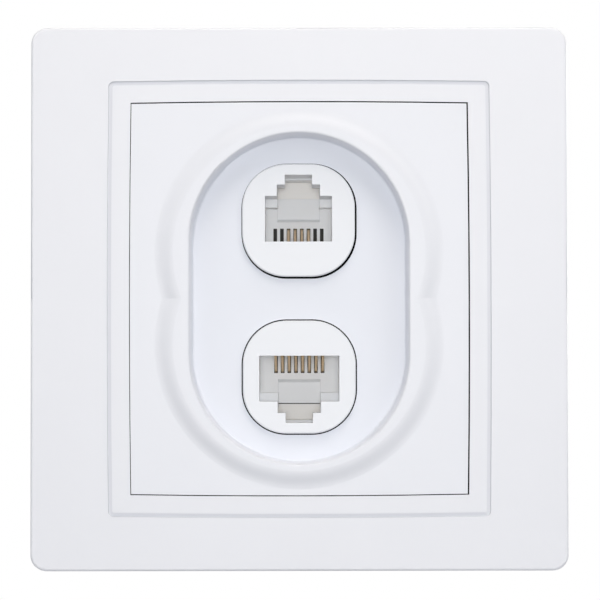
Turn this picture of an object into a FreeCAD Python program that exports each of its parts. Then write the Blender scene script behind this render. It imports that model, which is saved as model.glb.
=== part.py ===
import FreeCAD, Part
import math
import os
import re

import Sketcher

# Flush telephone wall socket with a phone jack above a data jack.
# +X is right, +Z is up and +Y runs into the wall. The wall's surface is y = 0.
# All sizes are in millimetres and degrees.

sizes = [
    # Cover frame
    ("frameRoomAcross", 3.0, "inside the frame's wall to the mounting plate, each side"),
    ("frameRoomUp", 3.5, "inside the frame's wall to the mounting plate, top and bottom"),
    ("frameDepth", 9.5, "wall to the frame's front"),
    ("frameTaper", 2.7, "lean of the frame's sides"),
    ("frameWall", 2.0, "frame's outer wall"),
    ("frameFace", 2.0, "frame's front face"),
    ("frameCorner", 2.4, "frame's corner radius"),
    ("frameEdge", 0.35, "rounding of the frame's front edge"),
    ("grooveBeside", 3.23, "decorative groove's outer side from the opening, each side"),
    ("grooveAbove", 3.18, "decorative groove's outer side from the opening, top and bottom"),
    ("grooveLine", 0.62, "groove's width"),
    ("grooveDepth", 0.3, "groove's depth"),
    ("grooveTaper", 22.0, "lean of the groove's sides"),
    ("grooveOuterCorner", 0.8, "groove's outer corner radius"),
    ("grooveInnerCorner", 0.3, "groove's inner corner radius"),
    ("sideBow", 0.22, "how far the middle of each side bows outwards"),
    ("collarWall", 1.8, "wall round the frame's opening"),
    ("lipThickness", 1.5, "lip behind the centre plate's rim"),
    ("lipWidth", 3.0, "how far the lip reaches under the rim"),
    # Centre plate
    ("plateAbove", 3.48, "centre plate past the carrier's front wall, top and bottom"),
    ("plateGap", 0.17, "gap between plate and frame"),
    ("plateLeft", 0.05, "plate's place in the opening, left of its middle"),
    ("plateDown", 0.02, "plate's place in the opening, under its middle"),
    ("plateThickness", 1.8, "centre plate's thickness"),
    ("plateRim", 1.5, "wall of the plate's rim"),
    ("plateRimDepth", 4.0, "front of the plate to the back of its rim"),
    ("ridgeRise", 0.5, "height of the raised figure of eight"),
    ("ridgeSpread", 6.8, "centre of the figure's lobes above and below the middle"),
    ("ridgeCrest", 2.4, "flat top between the recess and the figure's slope"),
    ("ridgeSlope", 2.7, "width of the figure's slope"),
    ("recessRadius", 16.2, "half width of the oval recess"),
    ("recessSpread", 8.25, "centre of the recess's ends above and below the middle"),
    ("recessDepth", 3.9, "ridge's top to the recess's floor"),
    ("recessDraft", 5.0, "lean of the recess's wall"),
    ("recessEdge", 0.3, "rounding of the recess's mouth"),
    ("recessFoot", 0.3, "rounding at the recess's floor"),
    ("recessWall", 1.5, "wall round the recess"),
    ("floorThickness", 1.4, "recess's floor"),
    ("legGap", 0.6, "gap between a snap leg and the carrier's front wall"),
    ("legInset", 3.36, "snap leg's outer face to the centre plate's side"),
    ("legThickness", 1.2, "snap leg's thickness"),
    ("legUp", 19.5, "middle to a snap leg's centre line, up and down"),
    ("legWidth", 5.0, "snap leg's width"),
    ("hookReach", 0.7, "snap leg's hook past its outer face"),
    ("hookLength", 1.5, "snap leg's end behind the mounting plate"),
    ("hookPlay", 0.05, "hook's play behind the mounting plate"),
    # Caps round the jacks
    ("capSpread", 11.6, "jack centres above and below the middle"),
    ("capSize", 16.76, "jack cap's face, side to side"),
    ("capCorner", 6.5, "jack cap's corner radius"),
    ("capGap", 0.2, "gap between jack cap and plate"),
    ("capProud", 0.8, "jack cap's face in front of the recess's floor"),
    ("capEdge", 0.2, "rounding of the jack cap's edge"),
    ("capFlange", 0.9, "jack cap's flange past its face"),
    ("flangeThickness", 1.2, "jack cap's flange"),
    ("seatGap", 0.1, "play of the flange behind the recess's floor"),
    ("capDepth", 7.1, "jack cap, front to back"),
    ("capLip", 2.0, "front lip that hides the contacts' bends"),
    ("phonePlay", 0.09, "phone jack's shift up and to the left"),
    # Jacks
    ("jackWall", 1.45, "jack housing beside the data plug's opening"),
    ("jackHeight", 6.8, "plug opening's height"),
    ("jackOffset", 0.23, "plug opening's centre towards its latch notch"),
    ("phoneJackWidth", 9.97, "phone plug opening's width"),
    ("dataJackWidth", 11.9, "data plug opening's width"),
    ("notchWide", 6.45, "latch notch's first step, width"),
    ("notchWideRise", 1.7, "latch notch's first step, height"),
    ("notchNarrow", 4.06, "latch notch's second step, width"),
    ("notchNarrowRise", 1.47, "latch notch's second step, height"),
    ("housingDepth", 5.0, "jack housing, front to back"),
    ("chamberDepth", 3.7, "housing's front to the plug's stop"),
    ("ledgeHeight", 1.25, "ledges beside the latch channel"),
    ("channelWidth", 6.4, "latch channel's width in the housing"),
    ("channelInset", 0.26, "channel's end short of the latch notch's end"),
    ("stopPocket", 0.8, "depth of the pocket in the plug's stop"),
    ("stopPocketEnd", 0.35, "pocket's end short of the jack's middle"),
    ("stopBevel", 0.5, "bevel at the pocket's end"),
    ("windowWall", 0.35, "housing between the plug opening's side and the window"),
    ("dataSlit", 0.12, "slit beside the data contact block's tongue"),
    ("blockDepth", 3.3, "contact block, front to back"),
    ("tongueRise", 0.25, "contact block's tongue into the window"),
    ("tonguePlay", 0.05, "play round the contact block's tongue"),
    # Contact wires
    ("contactPitch", 1.016, "contact wire spacing"),
    ("wireRadius", 0.2, "contact wire's radius"),
    ("wireSlot", 0.56, "comb slot's width"),
    ("combSlots", 8, "comb slots in each jack"),
    ("combReach", 0.6, "jack's middle to the comb slots' inner ends"),
    ("combDepth", 1.75, "comb slots' far ends past the plug opening"),
    ("wireRow", 4.4, "jack's middle to the row of wire tails"),
    ("wireBend", 0.65, "wire's bend radius at the front"),
    ("wireFront", 3.3, "cap's face to the bend's centre"),
    ("wireTip", 0.82, "jack's middle to a wire's free end"),
    ("wireTipDepth", 0.45, "wire's free end past the plug's stop"),
    ("tailLength", 1.0, "wire tail behind the circuit board"),
    ("tailHole", 0.26, "hole round a wire tail"),
    # Circuit board and module carrier
    ("boardBeside", 4.5, "circuit board past the jack wells, each side"),
    ("boardAbove", 1.6, "circuit board past the jack wells, top and bottom"),
    ("boardThickness", 1.6, "circuit board's thickness"),
    ("boardPlay", 0.2, "play round the circuit board"),
    ("carrierWall", 1.2, "module carrier's walls"),
    ("flangeBeside", 0.7, "carrier's front wall past its screws' heads, each side"),
    ("flangeAbove", 1.7, "carrier's front wall past its screws' heads, top and bottom"),
    ("carrierRim", 2.0, "carrier's end behind the circuit board"),
    ("wellPlay", 0.1, "play round each jack in its well"),
    ("clipWidth", 6.0, "board clip's width"),
    ("clipReach", 0.6, "board clip's reach over the board"),
    ("clipPlay", 0.05, "board clip's play"),
    ("clipThickness", 1.0, "board clip's thickness"),
    # Steel mounting plate
    ("steelRim", 1.0, "mounting plate past the wall box screws' slots"),
    ("steelCorner", 4.0, "mounting plate's corner radius"),
    ("steelThickness", 1.0, "mounting plate's thickness"),
    ("steelSetback", 0.2, "wall surface to the mounting plate's back"),
    ("steelPlay", 0.3, "play of the carrier in the mounting plate"),
    ("boxSpacing", 60.0, "wall box screws, centre to centre"),
    ("boxSlotRadius", 1.9, "half the width of a wall box screw's slot"),
    ("boxSlotLength", 8.0, "wall box screw's slot, end to end"),
    ("legSlotPlay", 0.2, "play of a snap leg in its slot"),
    # Screws that hold the carrier to the mounting plate
    ("carrierScrewLand", 0.7, "steel between a carrier screw and the carrier's window"),
    ("carrierScrewUp", 21.6, "carrier screws, middle to screw, up"),
    ("carrierScrewRadius", 1.25, "carrier screw's radius"),
    ("carrierScrewHead", 2.2, "carrier screw's head radius"),
    ("carrierScrewHeadHeight", 1.2, "carrier screw's head height"),
    ("carrierScrewEnd", 1.2, "carrier screw's end behind the mounting plate"),
    ("screwPlay", 0.05, "radial play of a screw in its hole"),
    ("driveWidth", 0.6, "screwdriver slot's width"),
    ("driveDepth", 0.6, "screwdriver slot's depth"),
    # Spreader claws
    ("clawCarrierGap", 0.5, "gap between a claw's knuckle and the carrier's box"),
    ("clawPivotDepth", 3.0, "wall surface to a claw's pivot"),
    ("clawHeadGap", 1.0, "gap between a claw screw's head and the carrier's front wall"),
    ("clawReach", 5.0, "claw's crossing with its screw, behind the pivot"),
    ("clawTravel", 3.5, "how far the screw draws the claw forwards"),
    ("clawWidth", 8.0, "claw's width"),
    ("clawThickness", 1.2, "claw's thickness"),
    ("clawArm", 12.6, "pivot to the claw's bend"),
    ("clawTail", 6.2, "claw's tail behind its bend"),
    ("clawTailAngle", 40.0, "turn at the claw's bend"),
    ("clawKnuckle", 1.9, "claw's knuckle radius"),
    ("clawSlotPlay", 0.35, "play of the screw in the claw's slot"),
    ("clawNotch", 1.0, "depth of the notches between a claw's teeth"),
    ("clawNotchHalf", 0.9, "half the width of those notches"),
    ("clawPinRadius", 1.0, "claw pin's radius"),
    ("clawPinPlay", 0.05, "radial play of a claw on its pin"),
    ("pinPlay", 0.02, "radial play of a claw pin in its ears"),
    ("earThickness", 1.0, "thickness of the ears that hold a claw pin"),
    ("earRadius", 1.8, "half width of an ear"),
    ("earPlay", 0.3, "gap between claw and ear"),
    ("clawScrewRadius", 1.5, "claw screw's radius"),
    ("clawScrewHead", 2.7, "claw screw's head radius"),
    ("clawScrewHeadHeight", 1.5, "claw screw's head height"),
    ("clawScrewEnd", 4.0, "claw screw's end behind its crossing with the claw"),
    # Terminals behind the circuit board
    ("phoneBlockLow", 11.5, "middle to the phone terminal block's lower side"),
    ("phoneBlockTall", 9.0, "phone terminal block, top to bottom"),
    ("terminalDepth", 8.5, "terminal blocks behind the circuit board"),
    ("terminalFloor", 0.9, "terminal blocks' floor on the circuit board"),
    ("cagePitch", 5.0, "phone terminal spacing"),
    ("cageWidth", 3.6, "phone terminal cage, side to side"),
    ("cageTall", 5.0, "phone terminal cage, top to bottom"),
    ("cageDepth", 5.5, "phone terminal cage, front to back"),
    ("cagePlay", 0.1, "play round a cage"),
    ("cageBore", 1.1, "wire hole's radius in a cage"),
    ("cageBoreDepth", 2.4, "cage's front to the wire hole's middle"),
    ("entryRadius", 1.3, "wire entry's radius in the block"),
    ("pinRadius", 0.4, "solder pin's radius"),
    ("pinHole", 0.46, "solder pin's hole radius"),
    ("pinStop", 0.4, "solder pin's end short of the board's front"),
    ("terminalScrewRadius", 1.25, "terminal screw's radius"),
    ("terminalScrewHead", 1.7, "terminal screw's head radius"),
    ("terminalScrewHeadHeight", 1.2, "terminal screw's head height"),
    ("dataBlockHigh", 10.5, "middle to the data terminal block's upper side"),
    ("dataBlockTall", 10.5, "data terminal block, top to bottom"),
    ("bladePitch", 4.6, "data terminal spacing"),
    ("bladeInset", 2.0, "data blade's middle from the block's side"),
    ("bladeWidth", 2.8, "data blade's width"),
    ("bladeThickness", 0.4, "data blade's thickness"),
    ("bladeHeight", 6.6, "data blade, front to back"),
    ("bladeSlit", 0.4, "slit that grips a wire, width"),
    ("bladeSlitDepth", 3.4, "slit that grips a wire, depth"),
    ("bladePlay", 0.1, "play round a blade"),
    ("wireChannel", 1.0, "wire channel's width in the data block"),
    ("wireChannelDepth", 4.4, "wire channel's depth in the data block"),
    ("wireChannelReach", 3.6, "wire channel's length in from the block's side"),
]
names = {alias for alias, value, note in sizes}

doc = FreeCAD.newDocument("telephone_wall_socket")
sheet = doc.addObject("Spreadsheet::Sheet", "Sizes")
for row, (alias, value, note) in enumerate(sizes, 1):
    sheet.set(f"A{row}", note)
    sheet.set(f"B{row}", str(value))
    sheet.setAlias(f"B{row}", alias)
doc.recompute()

# Places along Y, each worked out from the sizes
steel_back = "(-steelSetback)"
steel_front = f"({steel_back} - steelThickness)"
plate_back = "(-frameDepth + plateThickness)"
rim_back = "(-frameDepth + plateRimDepth)"
ridge_top = "(-frameDepth - ridgeRise)"
floor_front = f"({ridge_top} + recessDepth)"
floor_back = f"({floor_front} + floorThickness)"
cap_front = f"({floor_front} - capProud)"
cap_seat = f"({floor_back} + seatGap + flangeThickness)"
cap_back = f"({cap_front} + capDepth)"
stop_front = f"({cap_back} + chamberDepth)"
housing_back = f"({cap_back} + housingDepth)"
board_front = f"({housing_back} + blockDepth)"
board_back = f"({board_front} + boardThickness)"
carrier_back = f"({board_back} + carrierRim)"
terminal_front = f"({board_back} + terminalFloor)"
terminal_back = f"({board_back} + terminalDepth)"

# Heights in a jack's own frame, where +Z points from its middle to its contacts
contact_side = "(jackHeight / 2 - jackOffset)"
latch_side = "(-jackHeight / 2 - jackOffset)"
notch_step = f"({latch_side} - notchWideRise)"
notch_end = f"({notch_step} - notchNarrowRise)"
channel_end = f"({notch_end} + channelInset)"
window_side = f"({latch_side} - windowWall)"

comb_end = f"({contact_side} + combDepth)"
comb_width = "((combSlots - 1) * contactPitch + wireSlot)"

# Centres of the two jacks
phone_x = "(-phonePlay)"
phone_z = "(capSpread + phonePlay)"
data_x = "0"
data_z = "(-capSpread)"

# How many there are of each piece that repeats
phone_wires = 4
data_wires = 8
cage_count = 4
blade_count = 8

# Widths and heights, worked out from the jacks outwards
jack_size = "(dataJackWidth + 2 * jackWall)"
well_size = f"({jack_size} + 2 * wellPlay)"
well_outside = f"({well_size} + 2 * carrierWall)"
board_x = f"({well_outside} + 2 * boardBeside)"
board_z = f"(2 * capSpread + {well_outside} + 2 * boardAbove)"
carrier_x = f"({board_x} + 2 * boardPlay + 2 * carrierWall)"
carrier_z = f"({board_z} + 2 * boardPlay + 2 * carrierWall)"
window_x = f"({carrier_x} + 2 * steelPlay)"
window_z = f"({carrier_z} + 2 * steelPlay)"
carrier_screw_x = f"({window_x} / 2 + carrierScrewLand + screwPlay + carrierScrewRadius)"
flange_x = f"(2 * ({carrier_screw_x} + carrierScrewHead + flangeBeside))"
flange_z = "(2 * (carrierScrewUp + carrierScrewHead + flangeAbove))"
leg_inner = f"({flange_x} / 2 + legGap)"
leg_outer = f"({leg_inner} + legThickness)"
claw_pivot_x = f"({carrier_x} / 2 + clawCarrierGap + clawKnuckle)"
claw_screw_x = f"({flange_x} / 2 + clawHeadGap + clawScrewHead)"
claw_run = f"({claw_screw_x} - {claw_pivot_x})"
plate_x = f"(2 * ({leg_outer} + legInset))"
plate_z = f"({flange_z} + 2 * plateAbove)"
opening_x = f"({plate_x} + 2 * plateGap)"
opening_z = f"({plate_z} + 2 * plateGap)"
ridge_inner = "(recessRadius + ridgeCrest)"
ridge_outer = f"({ridge_inner} + ridgeSlope)"
steel_size = "(boxSpacing + boxSlotLength + 2 * steelRim)"
frame_x = f"({steel_size} + 2 * frameRoomAcross + 2 * frameWall)"
frame_z = f"({steel_size} + 2 * frameRoomUp + 2 * frameWall)"

# Behind the centre plate's rim and behind the circuit board
lip_back = f"({rim_back} + lipThickness)"
terminal_x = f"({cage_count} * cagePitch)"
cage_z = "(phoneBlockLow + phoneBlockTall / 2)"
cage_back = f"({terminal_front} + cageDepth)"

vector = FreeCAD.Vector


def full(text):
    """An expression with the sheet's name before each size."""
    return re.sub(r"[A-Za-z]\w*", lambda m: f"Sizes.{m[0]}" if m[0] in names else m[0], str(text))


def number(text):
    """What an expression comes to."""
    return float(sheet.evalExpression(full(text)))


def new_body(label):
    body = doc.addObject("PartDesign::Body", label)
    body.Label = label
    return body


def new_sketch(body, role, height, shift="0"):
    """A sketch parallel to one of the body's planes, moved along the plane's normal and up."""
    sketch = body.newObject("Sketcher::SketchObject", f"{body.Name}_sketch")
    sketch.AttachmentSupport = (next(p for p in body.Origin.OriginFeatures if p.Role == role), [""])
    sketch.MapMode = "FlatFace"
    sketch.setExpression("AttachmentOffset.Base.y", full(shift))
    sketch.setExpression("AttachmentOffset.Base.z", full(height))
    return sketch


def bind(sketch, kind, value, *where):
    """A size constraint that follows its expression."""
    index = sketch.addConstraint(Sketcher.Constraint(kind, *where, number(value)))
    sketch.setExpression(f"Constraints[{index}]", full(value))


def place(sketch, geo, point, x, y):
    """Hold one of a line's or an arc's points at its distances from the sketch's origin."""
    bind(sketch, "DistanceX", x, -1, 1, geo, point)
    bind(sketch, "DistanceY", y, -1, 1, geo, point)


def chain(sketch, kind, first, count):
    """Join a closed chain of lines or arcs, end to start."""
    for i in range(count):
        sketch.addConstraint(Sketcher.Constraint(kind, first + i, 2, first + (i + 1) % count, 1))


def arc(x, y, radius, start, end):
    """An arc round a centre, between two angles in degrees."""
    whole = Part.Circle(vector(x, y, 0), vector(0, 0, 1), radius)
    return Part.ArcOfCircle(whole, math.radians(start), math.radians(end))


def polygon(corners):
    """A closed outline through corners, each a pair of expressions."""
    def draw(sketch):
        points = [vector(number(x), number(y), 0) for x, y in corners]
        count = len(points)
        lines = [Part.LineSegment(points[i], points[(i + 1) % count]) for i in range(count)]
        first = sketch.addGeometry(lines)[0]
        chain(sketch, "Coincident", first, count)
        for i, (x, y) in enumerate(corners):
            place(sketch, first + i, 1, x, y)
    return draw


def rectangle(left, low, right, high):
    return polygon([(left, low), (right, low), (right, high), (left, high)])


def centred(width, tall, x="0", y="0"):
    """A rectangle round a centre."""
    half_x, half_y = f"({width}) / 2", f"({tall}) / 2"
    return rectangle(f"{x} - {half_x}", f"{y} - {half_y}", f"{x} + {half_x}", f"{y} + {half_y}")


def bowed(width, tall, x="0", y="0"):
    """A rectangle whose sides bow outwards, sized at the middles of its sides."""
    def draw(sketch):
        middle = vector(number(x), number(y), 0)
        half_x, half_y, bow = number(f"({width}) / 2"), number(f"({tall}) / 2"), number("sideBow")
        corners = [(-1, -1), (1, -1), (1, 1), (-1, 1)]
        points = [middle + vector(side * (half_x - bow), up * (half_y - bow), 0) for side, up in corners]
        reaches = ((0, -half_y), (half_x, 0), (0, half_y), (-half_x, 0))
        crests = [middle + vector(*reach, 0) for reach in reaches]
        sides = [Part.Arc(points[i], crests[i], points[(i + 1) % 4]) for i in range(4)]
        first = sketch.addGeometry(sides)[0]
        chain(sketch, "Coincident", first, 4)
        for i, (side, up) in enumerate(corners):
            corner_x, corner_y = f"{side} * (({width}) / 2 - sideBow)", f"{up} * (({tall}) / 2 - sideBow)"
            place(sketch, first + i, 1, f"{x} + {corner_x}", f"{y} + {corner_y}")
        for i in range(4):
            chord = f"(({(width, tall)[i % 2]}) - 2 * sideBow)"
            bind(sketch, "Radius", f"({chord} ^ 2 / 4 + sideBow ^ 2) / (2 * sideBow)", first + i)
    return draw


def soft_bowed(width, tall, corner):
    """A rectangle with bowed sides, sized at their middles, and round corners."""
    def draw(sketch):
        radii = []
        for length in (width, tall):
            chord = f"(({length}) - 2 * sideBow)"
            radii.append(f"(({chord} ^ 2 / 4 + sideBow ^ 2) / (2 * sideBow))")
        half_x, half_y, r = number(f"({width}) / 2"), number(f"({tall}) / 2"), number(corner)
        flat, side = number(radii[0]), number(radii[1])
        x, y = half_x - r, half_y - r
        for _ in range(8):
            x, y = (half_x - side + math.sqrt((side - r) ** 2 - y ** 2),
                    half_y - flat + math.sqrt((flat - r) ** 2 - x ** 2))
        low = math.degrees(math.atan2(y, x - half_x + side))
        high = math.degrees(math.atan2(y - half_y + flat, x))
        first = sketch.addGeometry([
            arc(x, y, r, low, high),
            arc(0, half_y - flat, flat, high, 180 - high),
            arc(-x, y, r, 180 - high, 180 - low),
            arc(side - half_x, 0, side, 180 - low, 180 + low),
            arc(-x, -y, r, 180 + low, 180 + high),
            arc(0, flat - half_y, flat, 180 + high, 360 - high),
            arc(x, -y, r, 360 - high, 360 - low),
            arc(half_x - side, 0, side, -low, low),
        ])[0]
        chain(sketch, "Tangent", first, 8)
        for i in range(4):
            bind(sketch, "Radius", corner, first + 2 * i)
        for i, (along_x, along_y) in enumerate(((0, 1), (-1, 0), (0, -1), (1, 0))):
            place(sketch, first + 2 * i + 1, 3, f"{along_x} * (({width}) / 2 - {radii[1]})",
                  f"{along_y} * (({tall}) / 2 - {radii[0]})")
            bind(sketch, "Radius", radii[i % 2], first + 2 * i + 1)
    return draw


def circle(x, y, radius):
    def draw(sketch):
        middle = vector(number(x), number(y), 0)
        geo = sketch.addGeometry(Part.Circle(middle, vector(0, 0, 1), number(radius)))
        place(sketch, geo, 3, x, y)
        bind(sketch, "Radius", radius, geo)
    return draw


def tall_slot(x, y, reach, radius):
    """A round-ended slot that runs up and down, its ends' centres reach from its middle."""
    def draw(sketch):
        cx, cy, half, r = number(x), number(y), number(reach), number(radius)
        first = sketch.addGeometry([
            arc(cx, cy + half, r, 0, 180),
            Part.LineSegment(vector(cx - r, cy + half, 0), vector(cx - r, cy - half, 0)),
            arc(cx, cy - half, r, 180, 360),
            Part.LineSegment(vector(cx + r, cy - half, 0), vector(cx + r, cy + half, 0)),
        ])[0]
        chain(sketch, "Tangent", first, 4)
        place(sketch, first, 3, x, f"{y} + {reach}")
        place(sketch, first + 2, 3, x, f"{y} - {reach}")
        bind(sketch, "Radius", radius, first)
        bind(sketch, "Radius", radius, first + 2)
    return draw


def wide_slot(x, y, reach, radius):
    """A round-ended slot that runs side to side, its ends' centres reach from its middle."""
    def draw(sketch):
        cx, cy, half, r = number(x), number(y), number(reach), number(radius)
        first = sketch.addGeometry([
            arc(cx + half, cy, r, -90, 90),
            Part.LineSegment(vector(cx + half, cy + r, 0), vector(cx - half, cy + r, 0)),
            arc(cx - half, cy, r, 90, 270),
            Part.LineSegment(vector(cx - half, cy - r, 0), vector(cx + half, cy - r, 0)),
        ])[0]
        chain(sketch, "Tangent", first, 4)
        place(sketch, first, 3, f"{x} + {reach}", y)
        place(sketch, first + 2, 3, f"{x} - {reach}", y)
        bind(sketch, "Radius", radius, first)
        bind(sketch, "Radius", radius, first + 2)
    return draw


def round_square(size, corner, x="0", y="0"):
    """A square with round corners."""
    def draw(sketch):
        cx, cy, r = number(x), number(y), number(corner)
        inner = number(f"({size}) / 2") - r
        outer = inner + r
        first = sketch.addGeometry([
            arc(cx + inner, cy + inner, r, 0, 90),
            Part.LineSegment(vector(cx + inner, cy + outer, 0), vector(cx - inner, cy + outer, 0)),
            arc(cx - inner, cy + inner, r, 90, 180),
            Part.LineSegment(vector(cx - outer, cy + inner, 0), vector(cx - outer, cy - inner, 0)),
            arc(cx - inner, cy - inner, r, 180, 270),
            Part.LineSegment(vector(cx - inner, cy - outer, 0), vector(cx + inner, cy - outer, 0)),
            arc(cx + inner, cy - inner, r, 270, 360),
            Part.LineSegment(vector(cx + outer, cy - inner, 0), vector(cx + outer, cy + inner, 0)),
        ])[0]
        chain(sketch, "Tangent", first, 8)
        reach = f"(({size}) / 2 - ({corner}))"
        for i, (right, up) in enumerate(((1, 1), (-1, 1), (-1, -1), (1, -1))):
            place(sketch, first + 2 * i, 3, f"{x} + {right} * {reach}", f"{y} + {up} * {reach}")
            bind(sketch, "Radius", corner, first + 2 * i)
    return draw


def add(body, role, low, high, *outlines, taper=None):
    """Add material from one height to another along a plane's normal."""
    sketch = new_sketch(body, role, low)
    for draw in outlines:
        draw(sketch)
    pad = body.newObject("PartDesign::Pad", f"{body.Name}_pad")
    pad.Profile = sketch
    pad.setExpression("Length", full(f"({high}) - ({low})"))
    if taper:
        pad.setExpression("TaperAngle", full(f"-({taper})"))
    return pad


def cut(body, role, low, high, *outlines, taper=None):
    """Cut material away from one height to another along a plane's normal."""
    doc.recompute()
    before = body.Shape.Volume
    sketch = new_sketch(body, role, high)
    for draw in outlines:
        draw(sketch)
    pocket = body.newObject("PartDesign::Pocket", f"{body.Name}_pocket")
    pocket.Profile = sketch
    pocket.setExpression("Length", full(f"({high}) - ({low})"))
    if taper:
        pocket.setExpression("TaperAngle", full(f"-({taper})"))
    doc.recompute()
    if not body.Shape.Volume < before:
        raise ValueError(f"{pocket.Label} cuts nothing")
    return pocket


def slab(body, front, back, *outlines, taper=None):
    """Add material between two depths, from outlines seen from the front."""
    return add(body, "XZ_Plane", f"-({back})", f"-({front})", *outlines, taper=taper)


def carve(body, front, back, *outlines, taper=None):
    """Cut material away between two depths, from outlines seen from the front."""
    return cut(body, "XZ_Plane", f"-({back})", f"-({front})", *outlines, taper=taper)


def round_edges(body, radius, wanted):
    """Round the edges of the body's last feature that a test picks."""
    doc.recompute()
    base = body.Tip
    picked = [f"Edge{i}" for i, edge in enumerate(base.Shape.Edges, 1) if wanted(edge)]
    if not picked:
        raise ValueError(f"{body.Label} has no edge to round")
    fillet = body.newObject("PartDesign::Fillet", f"{body.Name}_fillet")
    fillet.Base = (base, picked)
    fillet.setExpression("Radius", full(radius))
    return fillet


def in_plane(edge, depth):
    """Whether an edge lies in the plane at a depth."""
    box = edge.BoundBox
    return box.YLength < 1e-4 and abs(box.YMin - number(depth)) < 1e-4


def runs_deep(edge):
    """Whether an edge runs from front to back."""
    box = edge.BoundBox
    return box.YLength > 4 * max(box.XLength, box.ZLength)


def reach_across(edge):
    """How far an edge reaches from the middle, to either side."""
    return max(-edge.BoundBox.XMin, edge.BoundBox.XMax)


def make_cover_frame():
    body = new_body("cover_frame")
    slab(body, "-frameDepth", "0", centred(frame_x, frame_z), taper="frameTaper")
    round_edges(body, "frameCorner", runs_deep)
    round_edges(body, "frameEdge", lambda edge: in_plane(edge, "-frameDepth"))
    collar_x, collar_z = f"({opening_x} + 2 * collarWall)", f"({opening_z} + 2 * collarWall)"
    inside_x, inside_z = f"({frame_x} - 2 * frameWall)", f"({frame_z} - 2 * frameWall)"
    carve(body, "-frameDepth + frameFace", "0", centred(inside_x, inside_z), centred(collar_x, collar_z))
    carve(body, lip_back, "0", centred(f"{collar_x} + frameWall", f"{collar_z} + frameWall"))
    carve(body, "-frameDepth", rim_back, bowed(opening_x, opening_z, "plateLeft", "plateDown"))
    carve(body, rim_back, lip_back, centred(f"{opening_x} - 2 * lipWidth", f"{opening_z} - 2 * lipWidth"))
    groove_back = "-frameDepth + grooveDepth"
    outer_x, outer_z = f"({opening_x} + 2 * grooveBeside)", f"({opening_z} + 2 * grooveAbove)"
    inner_x, inner_z = f"({outer_x} - 2 * grooveLine)", f"({outer_z} - 2 * grooveLine)"
    outer = soft_bowed(outer_x, outer_z, "grooveOuterCorner")
    inner = soft_bowed(inner_x, inner_z, "grooveInnerCorner")
    carve(body, "-frameDepth", groove_back, outer, inner, taper="grooveTaper")
    return body


def add_lobe(body, side):
    """One lobe of the raised figure of eight, turned from a profile with a soft slope."""
    sketch = new_sketch(body, "YZ_Plane", "0", shift=f"{side} * ridgeSpread")
    inner, outer = number(ridge_inner), number(ridge_outer)
    top, base, back = number(ridge_top), number("-frameDepth"), number(plate_back)
    turn = 2 * math.degrees(math.atan((base - top) / (outer - inner)))
    radius = (outer - inner) / (2 * math.sin(math.radians(turn)))
    sketch.addGeometry([
        Part.LineSegment(vector(back, 0, 0), vector(top, 0, 0)),
        Part.LineSegment(vector(top, 0, 0), vector(top, inner, 0)),
        arc(top + radius, inner, radius, 180 - turn, 180),
        arc(base - radius, outer, radius, -turn, 0),
        Part.LineSegment(vector(base, outer, 0), vector(back, outer, 0)),
        Part.LineSegment(vector(back, outer, 0), vector(back, 0, 0)),
    ])
    meetings = (("Coincident", 0, 2, 1, 1), ("Tangent", 1, 2, 2, 2), ("Tangent", 2, 1, 3, 1),
                ("Equal", 2, 3), ("Coincident", 3, 2, 4, 1), ("Coincident", 4, 2, 5, 1),
                ("Coincident", 5, 2, 0, 1))
    for kind, *where in meetings:
        sketch.addConstraint(Sketcher.Constraint(kind, *where))
    place(sketch, 0, 1, plate_back, "0")
    place(sketch, 1, 1, ridge_top, "0")
    place(sketch, 1, 2, ridge_top, ridge_inner)
    place(sketch, 4, 1, "-frameDepth", ridge_outer)
    place(sketch, 5, 1, plate_back, ridge_outer)
    bind(sketch, "DistanceY", ridge_outer, -1, 1, 3, 3)
    lobe = body.newObject("PartDesign::Revolution", f"{body.Name}_lobe")
    lobe.Profile = sketch
    lobe.ReferenceAxis = (sketch, ["H_Axis"])
    lobe.Angle = 360.0
    return lobe


def make_centre_plate():
    body = new_body("centre_plate")
    slab(body, "-frameDepth", plate_back, bowed(plate_x, plate_z))
    inside = centred(f"({plate_x} - 2 * plateRim)", f"({plate_z} - 2 * plateRim)")
    slab(body, plate_back, rim_back, bowed(plate_x, plate_z), inside)
    add_lobe(body, "1")
    add_lobe(body, "-1")
    cup = tall_slot("0", "0", "recessSpread", "(recessRadius + recessWall)")
    slab(body, plate_back, floor_back, cup)
    recess = tall_slot("0", "0", "recessSpread", "recessRadius")
    carve(body, ridge_top, floor_front, recess, taper="recessDraft")
    mouth = number("recessRadius + recessEdge")
    round_edges(body, "recessEdge", lambda edge: in_plane(edge, ridge_top) and reach_across(edge) < mouth)
    round_edges(body, "recessFoot", lambda edge: in_plane(edge, floor_front))
    hole, corner = "(capSize + 2 * capGap)", "(capCorner + capGap)"
    holes = [round_square(hole, corner, "0", middle) for middle in ("capSpread", "-capSpread")]
    carve(body, floor_front, floor_back, *holes)
    for side in (1, -1):
        for up in (1, -1):
            add_leg(body, side, up)
    return body


def add_leg(body, side, up):
    """A snap leg whose hook catches behind the steel mounting plate."""
    inner, outer = f"{side} * {leg_inner}", f"{side} * {leg_outer}"
    hook = f"{side} * ({leg_outer} + hookReach)"
    catch = f"{steel_back} + hookPlay"
    corners = [(inner, plate_back), (outer, plate_back), (outer, catch), (hook, catch),
               (outer, f"{steel_back} + hookLength"), (inner, f"{steel_back} + hookLength")]
    add(body, "XY_Plane", f"{up} * legUp - legWidth / 2", f"{up} * legUp + legWidth / 2", polygon(corners))


def jack_frame(body, x, z, contacts_down):
    """Stand a body that is drawn in a jack's own frame at that jack."""
    if contacts_down:
        body.Placement = FreeCAD.Placement(vector(0, 0, 0), FreeCAD.Rotation(vector(0, 1, 0), 180))
    body.setExpression("Placement.Base.x", full(x))
    body.setExpression("Placement.Base.z", full(z))


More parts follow.
